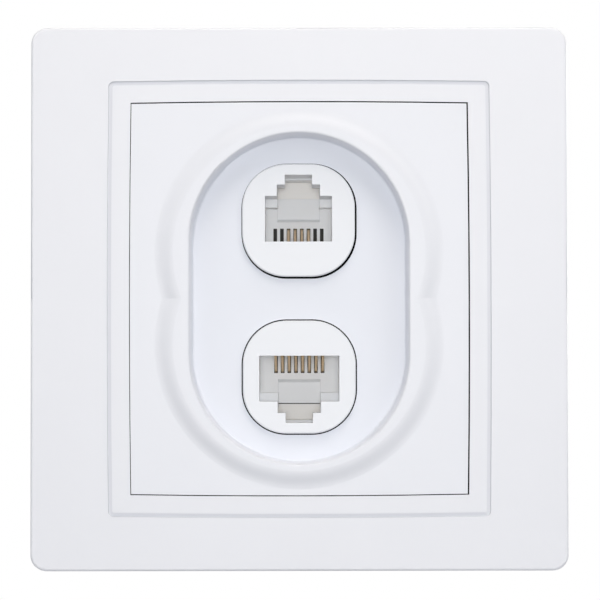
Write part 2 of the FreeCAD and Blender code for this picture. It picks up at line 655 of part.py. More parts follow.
def wire_place(index, count):
    """How far a contact wire stands from its jack's middle."""
    return f"({index - (count - 1) / 2} * contactPitch)"


def plug_opening(width):
    """The stepped outline of a modular plug, with its latch notch."""
    right = [(f"({width}) / 2", contact_side), (f"({width}) / 2", latch_side), ("notchWide / 2", latch_side),
             ("notchWide / 2", notch_step), ("notchNarrow / 2", notch_step), ("notchNarrow / 2", notch_end)]
    left = [(f"-{x}", y) for x, y in reversed(right)]
    return polygon(right + left)


def make_cap(label, width, x, z, contacts_down):
    body = new_body(label)
    slab(body, cap_front, cap_seat, round_square("capSize", "capCorner"))
    round_edges(body, "capEdge", lambda edge: in_plane(edge, cap_front))
    flange = round_square("(capSize + 2 * capFlange)", "(capCorner + capFlange)")
    slab(body, f"{cap_seat} - flangeThickness", cap_seat, flange)
    slab(body, cap_seat, cap_back, centred(jack_size, jack_size))
    carve(body, cap_front, cap_back, plug_opening(width))
    recess = rectangle(f"-{comb_width} / 2", contact_side, f"{comb_width} / 2", comb_end)
    carve(body, f"{cap_front} + capLip", cap_back, recess)
    jack_frame(body, x, z, contacts_down)
    return body


def make_housing(label, width, x, z, contacts_down):
    body = new_body(label)
    slab(body, cap_back, housing_back, centred(jack_size, jack_size))
    chamber = rectangle(f"-{width} / 2", f"{latch_side} + ledgeHeight", f"{width} / 2", contact_side)
    carve(body, cap_back, stop_front, chamber)
    channel = ("-channelWidth / 2", "channelWidth / 2")
    carve(body, cap_back, stop_front, rectangle(channel[0], channel_end, channel[1], "0"))
    pocket_back, bevel_side = f"({stop_front} + stopPocket)", "(-stopPocketEnd - stopBevel)"
    carve(body, stop_front, pocket_back, rectangle(channel[0], channel_end, channel[1], bevel_side))
    bevel = [(stop_front, "-stopPocketEnd"), (stop_front, bevel_side), (pocket_back, bevel_side)]
    cut(body, "YZ_Plane", channel[0], channel[1], polygon(bevel))
    carve(body, pocket_back, housing_back, rectangle(channel[0], channel_end, channel[1], window_side))
    slots = []
    for i in range(data_wires):
        middle = wire_place(i, data_wires)
        sides = (f"{middle} - wireSlot / 2", f"{middle} + wireSlot / 2")
        slots.append(rectangle(sides[0], "combReach", sides[1], comb_end))
    carve(body, cap_back, housing_back, *slots)
    jack_frame(body, x, z, contacts_down)
    return body


def make_contact_block(label, count, slit, x, z, contacts_down):
    body = new_body(label)
    slab(body, housing_back, board_front, centred(jack_size, jack_size))
    half = "(channelWidth / 2 - tonguePlay)"
    tongue = rectangle(f"-{half}", f"{channel_end} + tonguePlay", half, f"{window_side} - {slit}")
    slab(body, f"{housing_back} - tongueRise", housing_back, tongue)
    holes = [circle(wire_place(i, count), "wireRow", "tailHole") for i in range(count)]
    carve(body, housing_back, board_front, *holes)
    jack_frame(body, x, z, contacts_down)
    return body


def make_contact(label, index, count, x, z, contacts_down):
    """A gilt wire: straight up from the circuit board, round a bend and back to the comb."""
    body = new_body(label)
    tail = f"({board_back} + tailLength)"
    bend_y, bend_z = f"({cap_front} + wireFront)", "(wireRow - wireBend)"
    tip_y, tip_z = f"({stop_front} + wireTipDepth)", "wireTip"
    path = new_sketch(body, "YZ_Plane", "0")
    radius = number("wireBend")
    across, up = number(f"{tip_y} - {bend_y}"), number(f"{tip_z} - {bend_z}")
    leave = math.degrees(math.atan2(up, across) - math.acos(radius / math.hypot(across, up))) + 360
    start = vector(number(bend_y), number("wireRow"), 0)
    corner = vector(number(bend_y) + radius * math.cos(math.radians(leave)),
                    number(bend_z) + radius * math.sin(math.radians(leave)), 0)
    path.addGeometry([
        Part.LineSegment(vector(number(tail), number("wireRow"), 0), start),
        arc(number(bend_y), number(bend_z), radius, 90, leave),
        Part.LineSegment(corner, vector(number(tip_y), number(tip_z), 0)),
    ])
    path.addConstraint(Sketcher.Constraint("Tangent", 0, 2, 1, 1))
    path.addConstraint(Sketcher.Constraint("Tangent", 1, 2, 2, 1))
    place(path, 0, 1, tail, "wireRow")
    place(path, 1, 3, bend_y, bend_z)
    bind(path, "Radius", "wireBend", 1)
    place(path, 2, 2, tip_y, tip_z)
    section = new_sketch(body, "XZ_Plane", f"-{tail}")
    circle("0", "wireRow", "wireRadius")(section)
    pipe = body.newObject("PartDesign::AdditivePipe", f"{label}_wire")
    pipe.Profile = section
    pipe.Spine = (path, ["Edge1", "Edge2", "Edge3"])
    side = "-" if contacts_down else "+"
    jack_frame(body, f"{x} {side} {wire_place(index, count)}", z, contacts_down)
    return body


def cage_place(index):
    """How far a phone terminal stands from the middle."""
    return f"({index - (cage_count - 1) / 2} * cagePitch)"


def blade_places():
    """The data terminals' places: across and up or down."""
    for row in ("(-dataBlockHigh - bladeInset)", "(-dataBlockHigh - dataBlockTall + bladeInset)"):
        for i in range(blade_count // 2):
            yield f"({i - (blade_count / 2 - 1) / 2} * bladePitch)", row


def make_circuit_board():
    body = new_body("circuit_board")
    slab(body, board_front, board_back, centred(board_x, board_z))
    holes = []
    for i in range(phone_wires):
        tail = f"{phone_x} + {wire_place(i, phone_wires)}"
        holes.append(circle(tail, f"{phone_z} - wireRow", "tailHole"))
    for i in range(data_wires):
        holes.append(circle(f"{data_x} + {wire_place(i, data_wires)}", f"{data_z} + wireRow", "tailHole"))
    for i in range(cage_count):
        holes.append(circle(cage_place(i), cage_z, "pinHole"))
    for x, z in blade_places():
        holes.append(circle(x, z, "pinHole"))
    carve(body, board_front, board_back, *holes)
    return body


def make_module_carrier():
    """The moulding behind the centre plate, with a well for each jack and room for the circuit board."""
    body = new_body("module_carrier")
    slab(body, cap_seat, steel_front, centred(flange_x, flange_z))
    inside = (f"({board_x} + 2 * boardPlay)", f"({board_z} + 2 * boardPlay)")
    slab(body, steel_front, carrier_back, centred(carrier_x, carrier_z), centred(*inside))
    wells = []
    for x, z in ((phone_x, phone_z), (data_x, data_z)):
        wells.append(centred(well_size, well_size, x, z))
        slab(body, steel_front, board_front, centred(well_outside, well_outside, x, z), wells[-1])
    carve(body, cap_seat, steel_front, *wells)
    holes = [circle(x, z, "(carrierScrewRadius + screwPlay)") for x, z in carrier_screw_places()]
    carve(body, cap_seat, steel_front, *holes)
    for up in (1, -1):
        near, far = f"{up} * ({inside[1]} / 2 - clipReach)", f"{up} * ({inside[1]} + carrierWall) / 2"
        clip = rectangle("-clipWidth / 2", near, "clipWidth / 2", far)
        slab(body, f"{board_back} + clipPlay", f"{board_back} + clipPlay + clipThickness", clip)
    return body


def carrier_screw_places():
    for side in (1, -1):
        for up in (1, -1):
            yield f"{side} * {carrier_screw_x}", f"{up} * carrierScrewUp"


def make_mounting_plate():
    """The steel plate that is screwed or clawed into the wall box."""
    body = new_body("mounting_plate")
    slab(body, steel_front, steel_back, centred(steel_size, steel_size))
    round_edges(body, "steelCorner", runs_deep)
    carve(body, steel_front, steel_back, centred(window_x, window_z))
    reach = "(boxSlotLength / 2 - boxSlotRadius)"
    slots = []
    for side in (1, -1):
        slots.append(wide_slot(f"{side} * boxSpacing / 2", "0", reach, "boxSlotRadius"))
        slots.append(tall_slot("0", f"{side} * boxSpacing / 2", reach, "boxSlotRadius"))
        slots.append(circle(f"{side} * {claw_screw_x}", "0", "(clawScrewRadius + screwPlay)"))
        for up in (1, -1):
            inner, outer = f"({leg_inner} - legSlotPlay)", f"({leg_outer} + legSlotPlay)"
            half = "(legWidth / 2 + legSlotPlay)"
            low, high = f"{up} * legUp - {half}", f"{up} * legUp + {half}"
            slots.append(rectangle(f"{side} * {inner}", low, f"{side} * {outer}", high))
    slots += [circle(x, z, "(carrierScrewRadius + screwPlay)") for x, z in carrier_screw_places()]
    carve(body, steel_front, steel_back, *slots)
    for side in (1, -1):
        add_ears(body, side)
    return body


def add_ears(body, side):
    """A window beside the carrier, with an ear bent back from each end of it for a claw's pin."""
    middle = f"{side} * {claw_pivot_x}"
    inner, outer = f"{side} * {carrier_x} / 2", f"{side} * ({claw_pivot_x} + clawKnuckle)"
    half = "(clawWidth / 2 + earPlay)"
    carve(body, steel_front, steel_back, rectangle(inner, f"-{half}", outer, half))
    arm = rectangle(f"{middle} - earRadius", steel_front, f"{middle} + earRadius", "clawPivotDepth")
    for low, high in ((half, f"({half} + earThickness)"), (f"(-{half} - earThickness)", f"(-{half})")):
        add(body, "XY_Plane", low, high, arm)
        add(body, "XY_Plane", low, high, circle(middle, "clawPivotDepth", "earRadius"))
        cut(body, "XY_Plane", low, high, circle(middle, "clawPivotDepth", "(clawPinRadius + pinPlay)"))


def screw_crossing(reach, way):
    """How far along a claw its screw's surface lies, where the screw crosses the claw that deep."""
    along = f"sqrt({claw_run} ^ 2 + {reach} ^ 2)"
    return f"({along} + {way} * (clawScrewRadius * {along} + clawThickness / 2 * {reach}) / {claw_run})"


def make_claw(label, side):
    """A spreader claw, drawn with its pivot at the origin and its arm along +X."""
    body = new_body(label)
    half, width = "(clawThickness / 2)", "(clawWidth / 2)"
    sine, cosine, corner = "sin(clawTailAngle)", "cos(clawTailAngle)", f"{half} * tan(clawTailAngle / 2)"
    end_x, end_y = f"(clawArm + {corner} + clawTail * {cosine})", f"(-{half} + clawTail * {sine})"
    end_inner = (f"({end_x} - clawThickness * {sine})", f"({end_y} + clawThickness * {cosine})")
    strip = [("0", f"-{half}"), (f"clawArm + {corner}", f"-{half}"), (end_x, end_y),
             end_inner, (f"clawArm - {corner}", half), ("0", half)]
    add(body, "XY_Plane", f"-{width}", width, polygon(strip))
    add(body, "XY_Plane", f"-{width}", width, circle("0", "0", "clawKnuckle"))
    cut(body, "XY_Plane", f"-{width}", width, circle("0", "0", "(clawPinRadius + clawPinPlay)"))
    far = f"({screw_crossing('clawReach', 1)} - clawScrewRadius)"
    near = f"({screw_crossing('(clawReach - clawTravel)', -1)} + clawScrewRadius)"
    slot_radius = "(clawScrewRadius + clawSlotPlay)"
    slot = wide_slot(f"({far} + {near}) / 2", "0", f"({far} - {near}) / 2", slot_radius)
    carve(body, "-clawThickness", "clawThickness", slot)
    notches = []
    for i in (-1, 0, 1):
        middle = f"{i} * clawWidth / 4"
        mouth = [(end_x, f"{middle} - clawNotchHalf"), (end_x, f"{middle} + clawNotchHalf")]
        notches.append(polygon([(f"{end_inner[0]} - clawNotch", middle), *mouth]))
    carve(body, "0", f"{end_inner[1]}", *notches)
    turn = math.degrees(math.atan2(number("clawReach"), number(claw_run)))
    if side > 0:
        spin = FreeCAD.Rotation(vector(0, 0, 1), turn)
    else:
        lean = math.radians(turn / 2)
        spin = FreeCAD.Rotation(vector(math.sin(lean), math.cos(lean), 0), 180)
    body.Placement = FreeCAD.Placement(vector(0, 0, 0), spin)
    body.setExpression("Placement.Base.x", full(f"{side} * {claw_pivot_x}"))
    body.setExpression("Placement.Base.y", full("clawPivotDepth"))
    return body


def primitive(kind, label, sizes_of, base):
    """A box or cylinder whose sizes and corner or base follow their expressions."""
    shape = doc.addObject(f"Part::{kind}", label)
    for name, text in sizes_of.items():
        shape.setExpression(name, full(text))
    for axis, text in zip("xyz", base):
        shape.setExpression(f"Placement.Base.{axis}", full(text))
    return shape


def make_claw_pin(label, side):
    length = "(clawWidth + 2 * earPlay + 2 * earThickness)"
    return primitive("Cylinder", label, {"Radius": "clawPinRadius", "Height": length},
                     (f"{side} * {claw_pivot_x}", "clawPivotDepth", f"-{length} / 2"))


def make_screw(label, radius, head, head_height, length, x, y, z, faces_back=False):
    """A slotted screw along Y, with its head's underside at y and its shank of the given length."""
    parts = []
    rods = (("head", head, f"-{head_height}", head_height), ("shank", radius, "0", length))
    for name, size, low, tall in rods:
        rod = primitive("Cylinder", f"{label}_{name}", {"Radius": size, "Height": tall}, ("0", low, "0"))
        rod.Placement.Rotation = FreeCAD.Rotation(vector(1, 0, 0), -90)
        parts.append(rod)
    whole = doc.addObject("Part::Fuse", f"{label}_blank")
    whole.Base, whole.Tool = parts
    slot = {"Length": f"2 * {head}", "Width": "driveDepth", "Height": "driveWidth"}
    drive = primitive("Box", f"{label}_drive", slot, (f"-{head}", f"-{head_height}", "-driveWidth / 2"))
    screw = doc.addObject("Part::Cut", label)
    screw.Base, screw.Tool = whole, drive
    if faces_back:
        screw.Placement.Rotation = FreeCAD.Rotation(vector(0, 0, 1), 180)
    for axis, text in zip("xyz", (x, y, z)):
        screw.setExpression(f"Placement.Base.{axis}", full(text))
    return screw


def make_group(label, shapes):
    """Like pieces that share one node as separate solids."""
    group = doc.addObject("Part::Compound", label)
    group.Links = shapes
    return group


def make_phone_terminal_block():
    body = new_body("phone_terminal_block")
    low, high = "phoneBlockLow", "(phoneBlockLow + phoneBlockTall)"
    slab(body, board_back, terminal_back, rectangle(f"-{terminal_x} / 2", low, f"{terminal_x} / 2", high))
    room = ("(cageWidth + 2 * cagePlay)", "(cageTall + 2 * cagePlay)")
    places = [cage_place(i) for i in range(cage_count)]
    carve(body, terminal_front, terminal_back, *[centred(*room, x, cage_z) for x in places])
    carve(body, board_back, terminal_front, *[circle(x, cage_z, "pinHole") for x in places])
    entries = [circle(x, f"{terminal_front} + cageBoreDepth", "entryRadius") for x in places]
    cut(body, "XY_Plane", cage_z, high, *entries)
    return body


def make_cage(label, index):
    """A brass terminal with a hole for the wire, a threaded hole for its screw and a solder pin."""
    body = new_body(label)
    slab(body, terminal_front, cage_back, centred("cageWidth", "cageTall", "0", cage_z))
    slab(body, f"{board_front} + pinStop", terminal_front, circle("0", cage_z, "pinRadius"))
    bore = f"({terminal_front} + cageBoreDepth)"
    half = "cageTall / 2"
    cut(body, "XY_Plane", f"{cage_z} - {half}", f"{cage_z} + {half}", circle("0", bore, "cageBore"))
    carve(body, bore, cage_back, circle("0", cage_z, "(terminalScrewRadius + screwPlay)"))
    body.setExpression("Placement.Base.x", full(cage_place(index)))
    return body


def make_data_terminal_block():
    body = new_body("data_terminal_block")
    low, high = "(-dataBlockHigh - dataBlockTall)", "(-dataBlockHigh)"
    slab(body, board_back, terminal_back, rectangle(f"-{terminal_x} / 2", low, f"{terminal_x} / 2", high))
    room = ("(bladeWidth + 2 * bladePlay)", "(bladeThickness + 2 * bladePlay)")
    carve(body, terminal_front, terminal_back, *[centred(*room, x, z) for x, z in blade_places()])
    carve(body, board_back, terminal_front, *[circle(x, z, "pinHole") for x, z in blade_places()])
    channels = []
    for i, (x, z) in enumerate(blade_places()):
        left, right = f"{x} - wireChannel / 2", f"{x} + wireChannel / 2"
        side = high if i < blade_count // 2 else f"({low} + wireChannelReach)"
        channels.append(rectangle(left, f"{side} - wireChannelReach", right, side))
    carve(body, f"{terminal_back} - wireChannelDepth", terminal_back, *channels)
    return body


def make_blade(label, x, z):
    """A forked blade that grips a wire in its slit, with a solder pin."""
    body = new_body(label)
    back = f"({terminal_front} + bladeHeight)"
    slit = f"({back} - bladeSlitDepth)"
    half, gap = "bladeWidth / 2", "bladeSlit / 2"
    fork = [(f"-{half}", terminal_front), (half, terminal_front), (half, back), (gap, back),
            (gap, slit), (f"-{gap}", slit), (f"-{gap}", back), (f"-{half}", back)]
    add(body, "XY_Plane", "-bladeThickness / 2", "bladeThickness / 2", polygon(fork))
    pin = centred("bladeThickness", "bladeThickness")
    slab(body, f"{board_front} + pinStop", terminal_front, pin)
    body.setExpression("Placement.Base.x", full(x))
    body.setExpression("Placement.Base.z", full(z))
    return body


def make_jack(name, width, count, slit, x, z, contacts_down):
    """The pieces of one jack, from its cap back to its contact block, with its wires."""
    pieces = [
        make_cap(f"{name}_jack_cap", width, x, z, contacts_down),
        make_housing(f"{name}_jack_housing", width, x, z, contacts_down),
        make_contact_block(f"{name}_contact_block", count, slit, x, z, contacts_down),
    ]
    for i in range(count):
        pieces.append(make_contact(f"{name}_contact_{i + 1}", i, count, x, z, contacts_down))
    return pieces


def make_claws():
    pieces = []
    for name, side in (("right", 1), ("left", -1)):
        pieces.append(make_claw(f"claw_{name}", side))
        pieces.append(make_claw_pin(f"claw_pin_{name}", side))
        sizes_of = ("clawScrewRadius", "clawScrewHead", "clawScrewHeadHeight")
        length = f"(clawPivotDepth + clawReach + clawScrewEnd - {steel_front})"
        middle = f"{side} * {claw_screw_x}"
        pieces.append(make_screw(f"claw_screw_{name}", *sizes_of, length, middle, steel_front, "0"))
    return pieces


def make_carrier_screws():
    screws = []
    for i, (x, z) in enumerate(carrier_screw_places(), 1):
        length = f"({steel_back} + carrierScrewEnd - {cap_seat})"
        screws.append(make_screw(f"carrier_screw_{i}", "carrierScrewRadius", "carrierScrewHead",
                                 "carrierScrewHeadHeight", length, x, cap_seat, z))
    return make_group("carrier_screws", screws)


def make_terminal_screws():
    screws = []
    length = "(cageDepth - cageBoreDepth - cageBore)"
    for i in range(cage_count):
        screws.append(make_screw(f"terminal_screw_{i + 1}", "terminalScrewRadius", "terminalScrewHead",
                                 "terminalScrewHeadHeight", length, cage_place(i), cage_back, cage_z, True))
    return make_group("terminal_screws", screws)


def make_all():
    pieces = [make_cover_frame(), make_centre_plate()]
    pieces += make_jack("phone", "phoneJackWidth", phone_wires, "tonguePlay", phone_x, phone_z, True)
    pieces += make_jack("data", "dataJackWidth", data_wires, "dataSlit", data_x, data_z, False)
    pieces += [make_module_carrier(), make_carrier_screws(), make_mounting_plate()]
    pieces += make_claws()
    pieces += [make_circuit_board(), make_phone_terminal_block()]
    pieces += [make_cage(f"terminal_cage_{i + 1}", i) for i in range(cage_count)]
    pieces += [make_terminal_screws(), make_data_terminal_block()]
    pieces += [make_blade(f"terminal_blade_{i + 1}", x, z) for i, (x, z) in enumerate(blade_places())]
    return pieces


def export(pieces):
    """Check every object, then write each piece to its own file."""
    doc.recompute()
    for item in doc.Objects:
        if {"Invalid", "Error"} & set(item.State):
            raise ValueError(f"{item.Label} failed: {item.State}")
    for piece in pieces:
        shape = piece.Shape
        if shape.isNull() or not shape.isValid() or not shape.Solids:
            raise ValueError(f"{piece.Label} has no valid solid")
    os.makedirs("parts", exist_ok=True)
    for piece in pieces:
        piece.Shape.exportStep(f"parts/{piece.Label}.step")
        box = piece.Shape.BoundBox
        print(f"{piece.Label:24s} solids {len(piece.Shape.Solids)} volume {piece.Shape.Volume:9.2f}"
              f" x {box.XMin:7.2f} {box.XMax:7.2f} y {box.YMin:7.2f} {box.YMax:7.2f}"
              f" z {box.ZMin:7.2f} {box.ZMax:7.2f}")


export(make_all())
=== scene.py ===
import math

import bmesh
import bpy
from mathutils import Matrix, Vector


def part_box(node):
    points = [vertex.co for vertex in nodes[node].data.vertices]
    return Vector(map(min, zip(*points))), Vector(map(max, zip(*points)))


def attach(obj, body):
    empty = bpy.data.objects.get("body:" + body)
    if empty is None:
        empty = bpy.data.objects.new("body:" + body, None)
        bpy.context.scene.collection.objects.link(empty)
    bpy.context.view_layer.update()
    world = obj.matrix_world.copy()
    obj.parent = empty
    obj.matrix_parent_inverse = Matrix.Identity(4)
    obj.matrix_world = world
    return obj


# White flush wall socket with a phone jack above a data jack.
# Everything is in metres: x to the right, y into the wall, z up, the wall's surface at y = 0.

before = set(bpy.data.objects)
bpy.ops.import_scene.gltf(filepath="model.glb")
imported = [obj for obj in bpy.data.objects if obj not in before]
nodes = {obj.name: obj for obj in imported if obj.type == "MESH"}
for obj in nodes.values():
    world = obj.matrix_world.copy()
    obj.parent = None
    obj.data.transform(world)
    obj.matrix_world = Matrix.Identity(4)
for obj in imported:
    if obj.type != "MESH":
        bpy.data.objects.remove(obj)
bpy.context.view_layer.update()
scene = bpy.context.scene
scene.view_settings.view_transform = "Standard"
print("socket loaded with", len(nodes), "nodes")


photoCamera = {
    "imageWidth": 600,
    "sensorWidth": 36.0,           # millimetres
    "pixelsPerMetre": 6790.0,      # on the cover's front face
    "frontDepth": -0.0095,         # where that face is
    "distance": 0.350,             # lens to that face
    "below": 0.011,                # lens under the middle of the socket
    "across": 0.0,
    "aim": (0.00012, -0.00025),    # point of that face in the middle of the picture
    "roll": -0.085,                # degrees
    "nearest": 0.01,
}


def placeCamera(look):
    camera = bpy.data.objects.new("photoCamera", bpy.data.cameras.new("photoCamera"))
    scene.collection.objects.link(camera)
    camera.data.sensor_width = look["sensorWidth"]
    widthAtFace = look["imageWidth"] / look["pixelsPerMetre"]
    camera.data.lens = look["sensorWidth"] * look["distance"] / widthAtFace
    camera.data.clip_start = look["nearest"]
    spot = Vector((look["across"], look["frontDepth"] - look["distance"], -look["below"]))
    target = Vector((look["aim"][0], look["frontDepth"], look["aim"][1]))
    turn = (target - spot).to_track_quat("-Z", "Y").to_matrix()
    turn = turn @ Matrix.Rotation(math.radians(look["roll"]), 3, "Z")
    camera.matrix_world = Matrix.Translation(spot) @ turn.to_4x4()
    scene.camera = camera


placeCamera(photoCamera)
print("camera placed")


class Signal:
    # one output of a finish's nodes, so that its maths reads as plain sums
    def __init__(self, finish, socket):
        self.finish = finish
        self.socket = socket

    def __add__(self, other):
        return self.finish.maths("ADD", self, other)

    def __radd__(self, other):
        return self.finish.maths("ADD", other, self)

    def __sub__(self, other):
        return self.finish.maths("SUBTRACT", self, other)

    def __rsub__(self, other):
        return self.finish.maths("SUBTRACT", other, self)

    def __mul__(self, other):
        return self.finish.maths("MULTIPLY", self, other)

    def __rmul__(self, other):
        return self.finish.maths("MULTIPLY", other, self)


class Finish:
    def __init__(self, name, plain):
        self.material = bpy.data.materials.new(name)
        self.material.use_nodes = True
        self.tree = self.material.node_tree
        self.shader = self.tree.nodes["Principled BSDF"]
        for socket, value in plain.items():
            self.feed(socket, value)

    def feed(self, socket, value):
        self.plug(self.shader.inputs[socket], value)

    def plug(self, socket, value):
        if isinstance(value, Signal):
            self.tree.links.new(value.socket, socket)
        else:
            socket.default_value = value

    def node(self, kind, settings=None, inputs=None, output=0):
        made = self.tree.nodes.new(kind)
        for name, value in (settings or {}).items():
            setattr(made, name, value)
        for name, value in (inputs or {}).items():
            self.plug(made.inputs[name], value)
        return Signal(self, made.outputs[output])

    def maths(self, operation, a, b=0.0):
        return self.node("ShaderNodeMath", {"operation": operation}, {0: a, 1: b})

    def clamp(self, value):
        return self.node("ShaderNodeClamp", {}, {"Value": value})

    def blend(self, factor, a, b):
        return self.node("ShaderNodeMix", {"data_type": "RGBA"}, {0: factor, 6: a, 7: b}, 2)

    def place(self):
        return self.node("ShaderNodeTexCoord", output="Object")

    def cloud(self, scale, detail, where=None):
        inputs = {"Vector": where or self.place(), "Scale": scale, "Detail": detail}
        return self.node("ShaderNodeTexNoise", {}, inputs)

    def axes(self):
        # x, y and z of the point that is being shaded
        across = self.node("ShaderNodeSeparateXYZ", {}, {"Vector": self.place()})
        return [across] + [Signal(self, across.socket.node.outputs[axis]) for axis in "YZ"]

    def above(self, value, limit):
        return self.maths("GREATER_THAN", value, limit)

    def below(self, value, limit):
        return self.maths("LESS_THAN", value, limit)

    def between(self, value, low, high):
        return self.above(value, low) * self.below(value, high)

    def fromMiddle(self, value, middle):
        return self.maths("ABSOLUTE", value - middle)

    def stretched(self, factors):
        inputs = {"Vector": self.place(), "Scale": factors}
        return self.node("ShaderNodeMapping", {}, inputs)

    def overlay(self, factor, shader):
        plain = Signal(self, self.shader.outputs[0])
        mixed = self.node("ShaderNodeMixShader", {}, {0: factor, 1: plain, 2: shader})
        self.plug(self.tree.nodes["Material Output"].inputs["Surface"], mixed)

    def bump(self, height, strength, distance):
        inputs = {"Strength": strength, "Distance": distance, "Height": height}
        self.feed("Normal", self.node("ShaderNodeBump", {}, inputs))


# Each plastic's colour, how far its tone drifts, its roughness and how strong its grain is.
plastics = {
    "coverPlastic": {"colour": (0.866, 0.871, 0.905, 1), "drift": 0.012, "roughness": 0.42, "grain": 0.5},
    "platePlastic": {"colour": (0.851, 0.860, 0.900, 1), "drift": 0.012, "roughness": 0.40, "grain": 0.5},
    "capPlastic": {"colour": (0.806, 0.818, 0.846, 1), "drift": 0.010, "roughness": 0.36, "grain": 0.4},
    "housingPlastic": {"colour": (0.935, 0.945, 0.950, 1), "drift": 0.015, "roughness": 0.42, "grain": 0.5},
    "creamPlastic": {"colour": (0.985, 0.960, 0.918, 1), "drift": 0.015, "roughness": 0.45, "grain": 0.6},
    "terminalPlastic": {"colour": (0.620, 0.640, 0.660, 1), "drift": 0.020, "roughness": 0.45, "grain": 0.5},
}
mouldTexture = {
    "driftScale": 90.0, "driftDetail": 4.0, "grainScale": 5200.0, "grainDetail": 3.0,
    "grainHeight": 0.000004, "roughnessDrift": 0.08, "refraction": 1.49,
}


def makePlastic(name, look, hollow=None, shade=None):
    # A hollow gives where little light gets in and the dark colour painted there as shade, and a shade blends
    # a painted shade colour into the plastic's own colour.
    finish = Finish(name, {"IOR": mouldTexture["refraction"]})
    drift = finish.cloud(mouldTexture["driftScale"], mouldTexture["driftDetail"])
    grain = finish.cloud(mouldTexture["grainScale"], mouldTexture["grainDetail"])
    darker = tuple(c * (1 - 2 * look["drift"]) for c in look["colour"][:3]) + (1.0,)
    colour = finish.blend(drift, darker, look["colour"])
    # painted shade blended into the colour where the shade's mask says
    if shade:
        amount, paintedShadeColour = shade(finish)
        colour = finish.blend(amount, colour, paintedShadeColour)
    finish.feed("Base Color", colour)
    finish.feed("Roughness", look["roughness"] + mouldTexture["roughnessDrift"] * (grain - 0.5))
    finish.bump(grain, look["grain"], mouldTexture["grainHeight"])
    # painted shade: a dark matt layer laid over the plastic where the hollow's mask says
    if hollow:
        mask, dark = hollow(finish)
        paintedShadeSheet = finish.node("ShaderNodeBsdfDiffuse", {}, {"Color": dark, "Roughness": 1.0})
        finish.overlay(mask, paintedShadeSheet)
    return finish.material


metals = {
    "giltWire": {"colour": (0.86, 0.62, 0.34, 1), "dull": (0.66, 0.47, 0.27, 1), "roughness": 0.34},
    "brass": {"colour": (0.72, 0.55, 0.26, 1), "dull": (0.50, 0.38, 0.20, 1), "roughness": 0.34},
    "tinnedBronze": {"colour": (0.66, 0.65, 0.62, 1), "dull": (0.50, 0.49, 0.47, 1), "roughness": 0.32},
    "zincSheet": {"colour": (0.60, 0.61, 0.62, 1), "dull": (0.46, 0.47, 0.49, 1), "roughness": 0.38},
    "zincScrew": {"colour": (0.62, 0.62, 0.61, 1), "dull": (0.45, 0.45, 0.44, 1), "roughness": 0.30},
    "solder": {"colour": (0.72, 0.73, 0.74, 1), "dull": (0.58, 0.59, 0.60, 1), "roughness": 0.22},
}
metalTexture = {
    "patchScale": 260.0, "patchDetail": 5.0, "patchRoughness": 0.1,
    "lineStretch": (900.0, 60.0, 60.0), "lineScale": 6.0, "lineDetail": 2.0,
    "lineRoughness": 0.18, "lineStrength": 0.3, "lineHeight": 0.000006,
}


def makeMetal(name, look):
    finish = Finish(name, {"Metallic": 1.0})
    patches = finish.cloud(metalTexture["patchScale"], metalTexture["patchDetail"])
    along = finish.stretched(metalTexture["lineStretch"])
    lines = finish.cloud(metalTexture["lineScale"], metalTexture["lineDetail"], along)
    lineDrift = metalTexture["lineRoughness"] * (lines - 0.5)
    patchDrift = metalTexture["patchRoughness"] * (patches - 0.5)
    finish.feed("Base Color", finish.blend(patches, look["dull"], look["colour"]))
    finish.feed("Roughness", look["roughness"] + lineDrift + patchDrift)
    finish.bump(lines, metalTexture["lineStrength"], metalTexture["lineHeight"])
    return finish.material


finishes = {name: makePlastic(name, look) for name, look in plastics.items()}
finishes.update({name: makeMetal(name, look) for name, look in metals.items()})


boardLook = {
    "lacquer": (0.030, 0.115, 0.050, 1), "track": (0.060, 0.200, 0.085, 1),
    "pitch": 0.001016, "trackWidth": 0.0004, "trackRows": (0.0075, 0.0195), "trackReach": 0.0088,
    "gloss": 0.3, "glossRoughness": 0.1, "roughness": 0.22, "roughnessDrift": 0.1,
    "weaveScale": 2600.0, "weaveDetail": 2.0, "weaveHeight": 0.2, "trackStrength": 0.4, "trackHeight": 0.00003,
}


def makeBoardLacquer(look):
    coat = {"Coat Weight": look["gloss"], "Coat Roughness": look["glossRoughness"]}
    finish = Finish("boardLacquer", coat)
    x, y, z = finish.axes()
    across = finish.maths("FLOORED_MODULO", x, look["pitch"])
    line = finish.below(finish.fromMiddle(across, look["pitch"] / 2), look["trackWidth"] / 2)
    rows = finish.between(finish.fromMiddle(z, 0.0), *look["trackRows"])
    track = line * rows * finish.below(finish.fromMiddle(x, 0.0), look["trackReach"])
    finish.feed("Base Color", finish.blend(track, look["lacquer"], look["track"]))
    weave = finish.cloud(look["weaveScale"], look["weaveDetail"])
    finish.feed("Roughness", look["roughness"] + look["roughnessDrift"] * (weave - 0.5))
    finish.bump(track + look["weaveHeight"] * weave, look["trackStrength"], look["trackHeight"])
    return finish.material


finishes["boardLacquer"] = makeBoardLacquer(boardLook)


# Painted shade: little light gets into the narrow gaps round the caps and the centre plate, and into the comb
# slots, so their walls are painted a dark matt colour.
# Depths are along y, rows along z from the jack's middle towards its contacts, and reaches along x.
gaps = {
    "gapShadeColour": (0.010, 0.010, 0.011, 1), "slotShadeColour": (0.14, 0.135, 0.125, 1),
    "capCore": 0.00189,          # half of the flat part of a cap's sides
    "capWall": 0.00640,          # out from that core, just inside a cap's side
    "holeWall": 0.00675,         # out from that core, just past the side of a cap's hole
    "capDepths": (-0.00602, -0.0041),
    "rimWall": (0.0246, 0.0286), "openingWall": (0.0254, 0.0294), "rimDepths": (-0.0093, -0.0054),
    "combDepths": (0.0040, 0.0053), "combRows": (0.00055, 0.0050), "combReach": 0.0041,
    "slitDepths": (0.00472, 0.0053), "slitRows": (-0.00413, -0.00395), "slitReach": 0.0032,
}
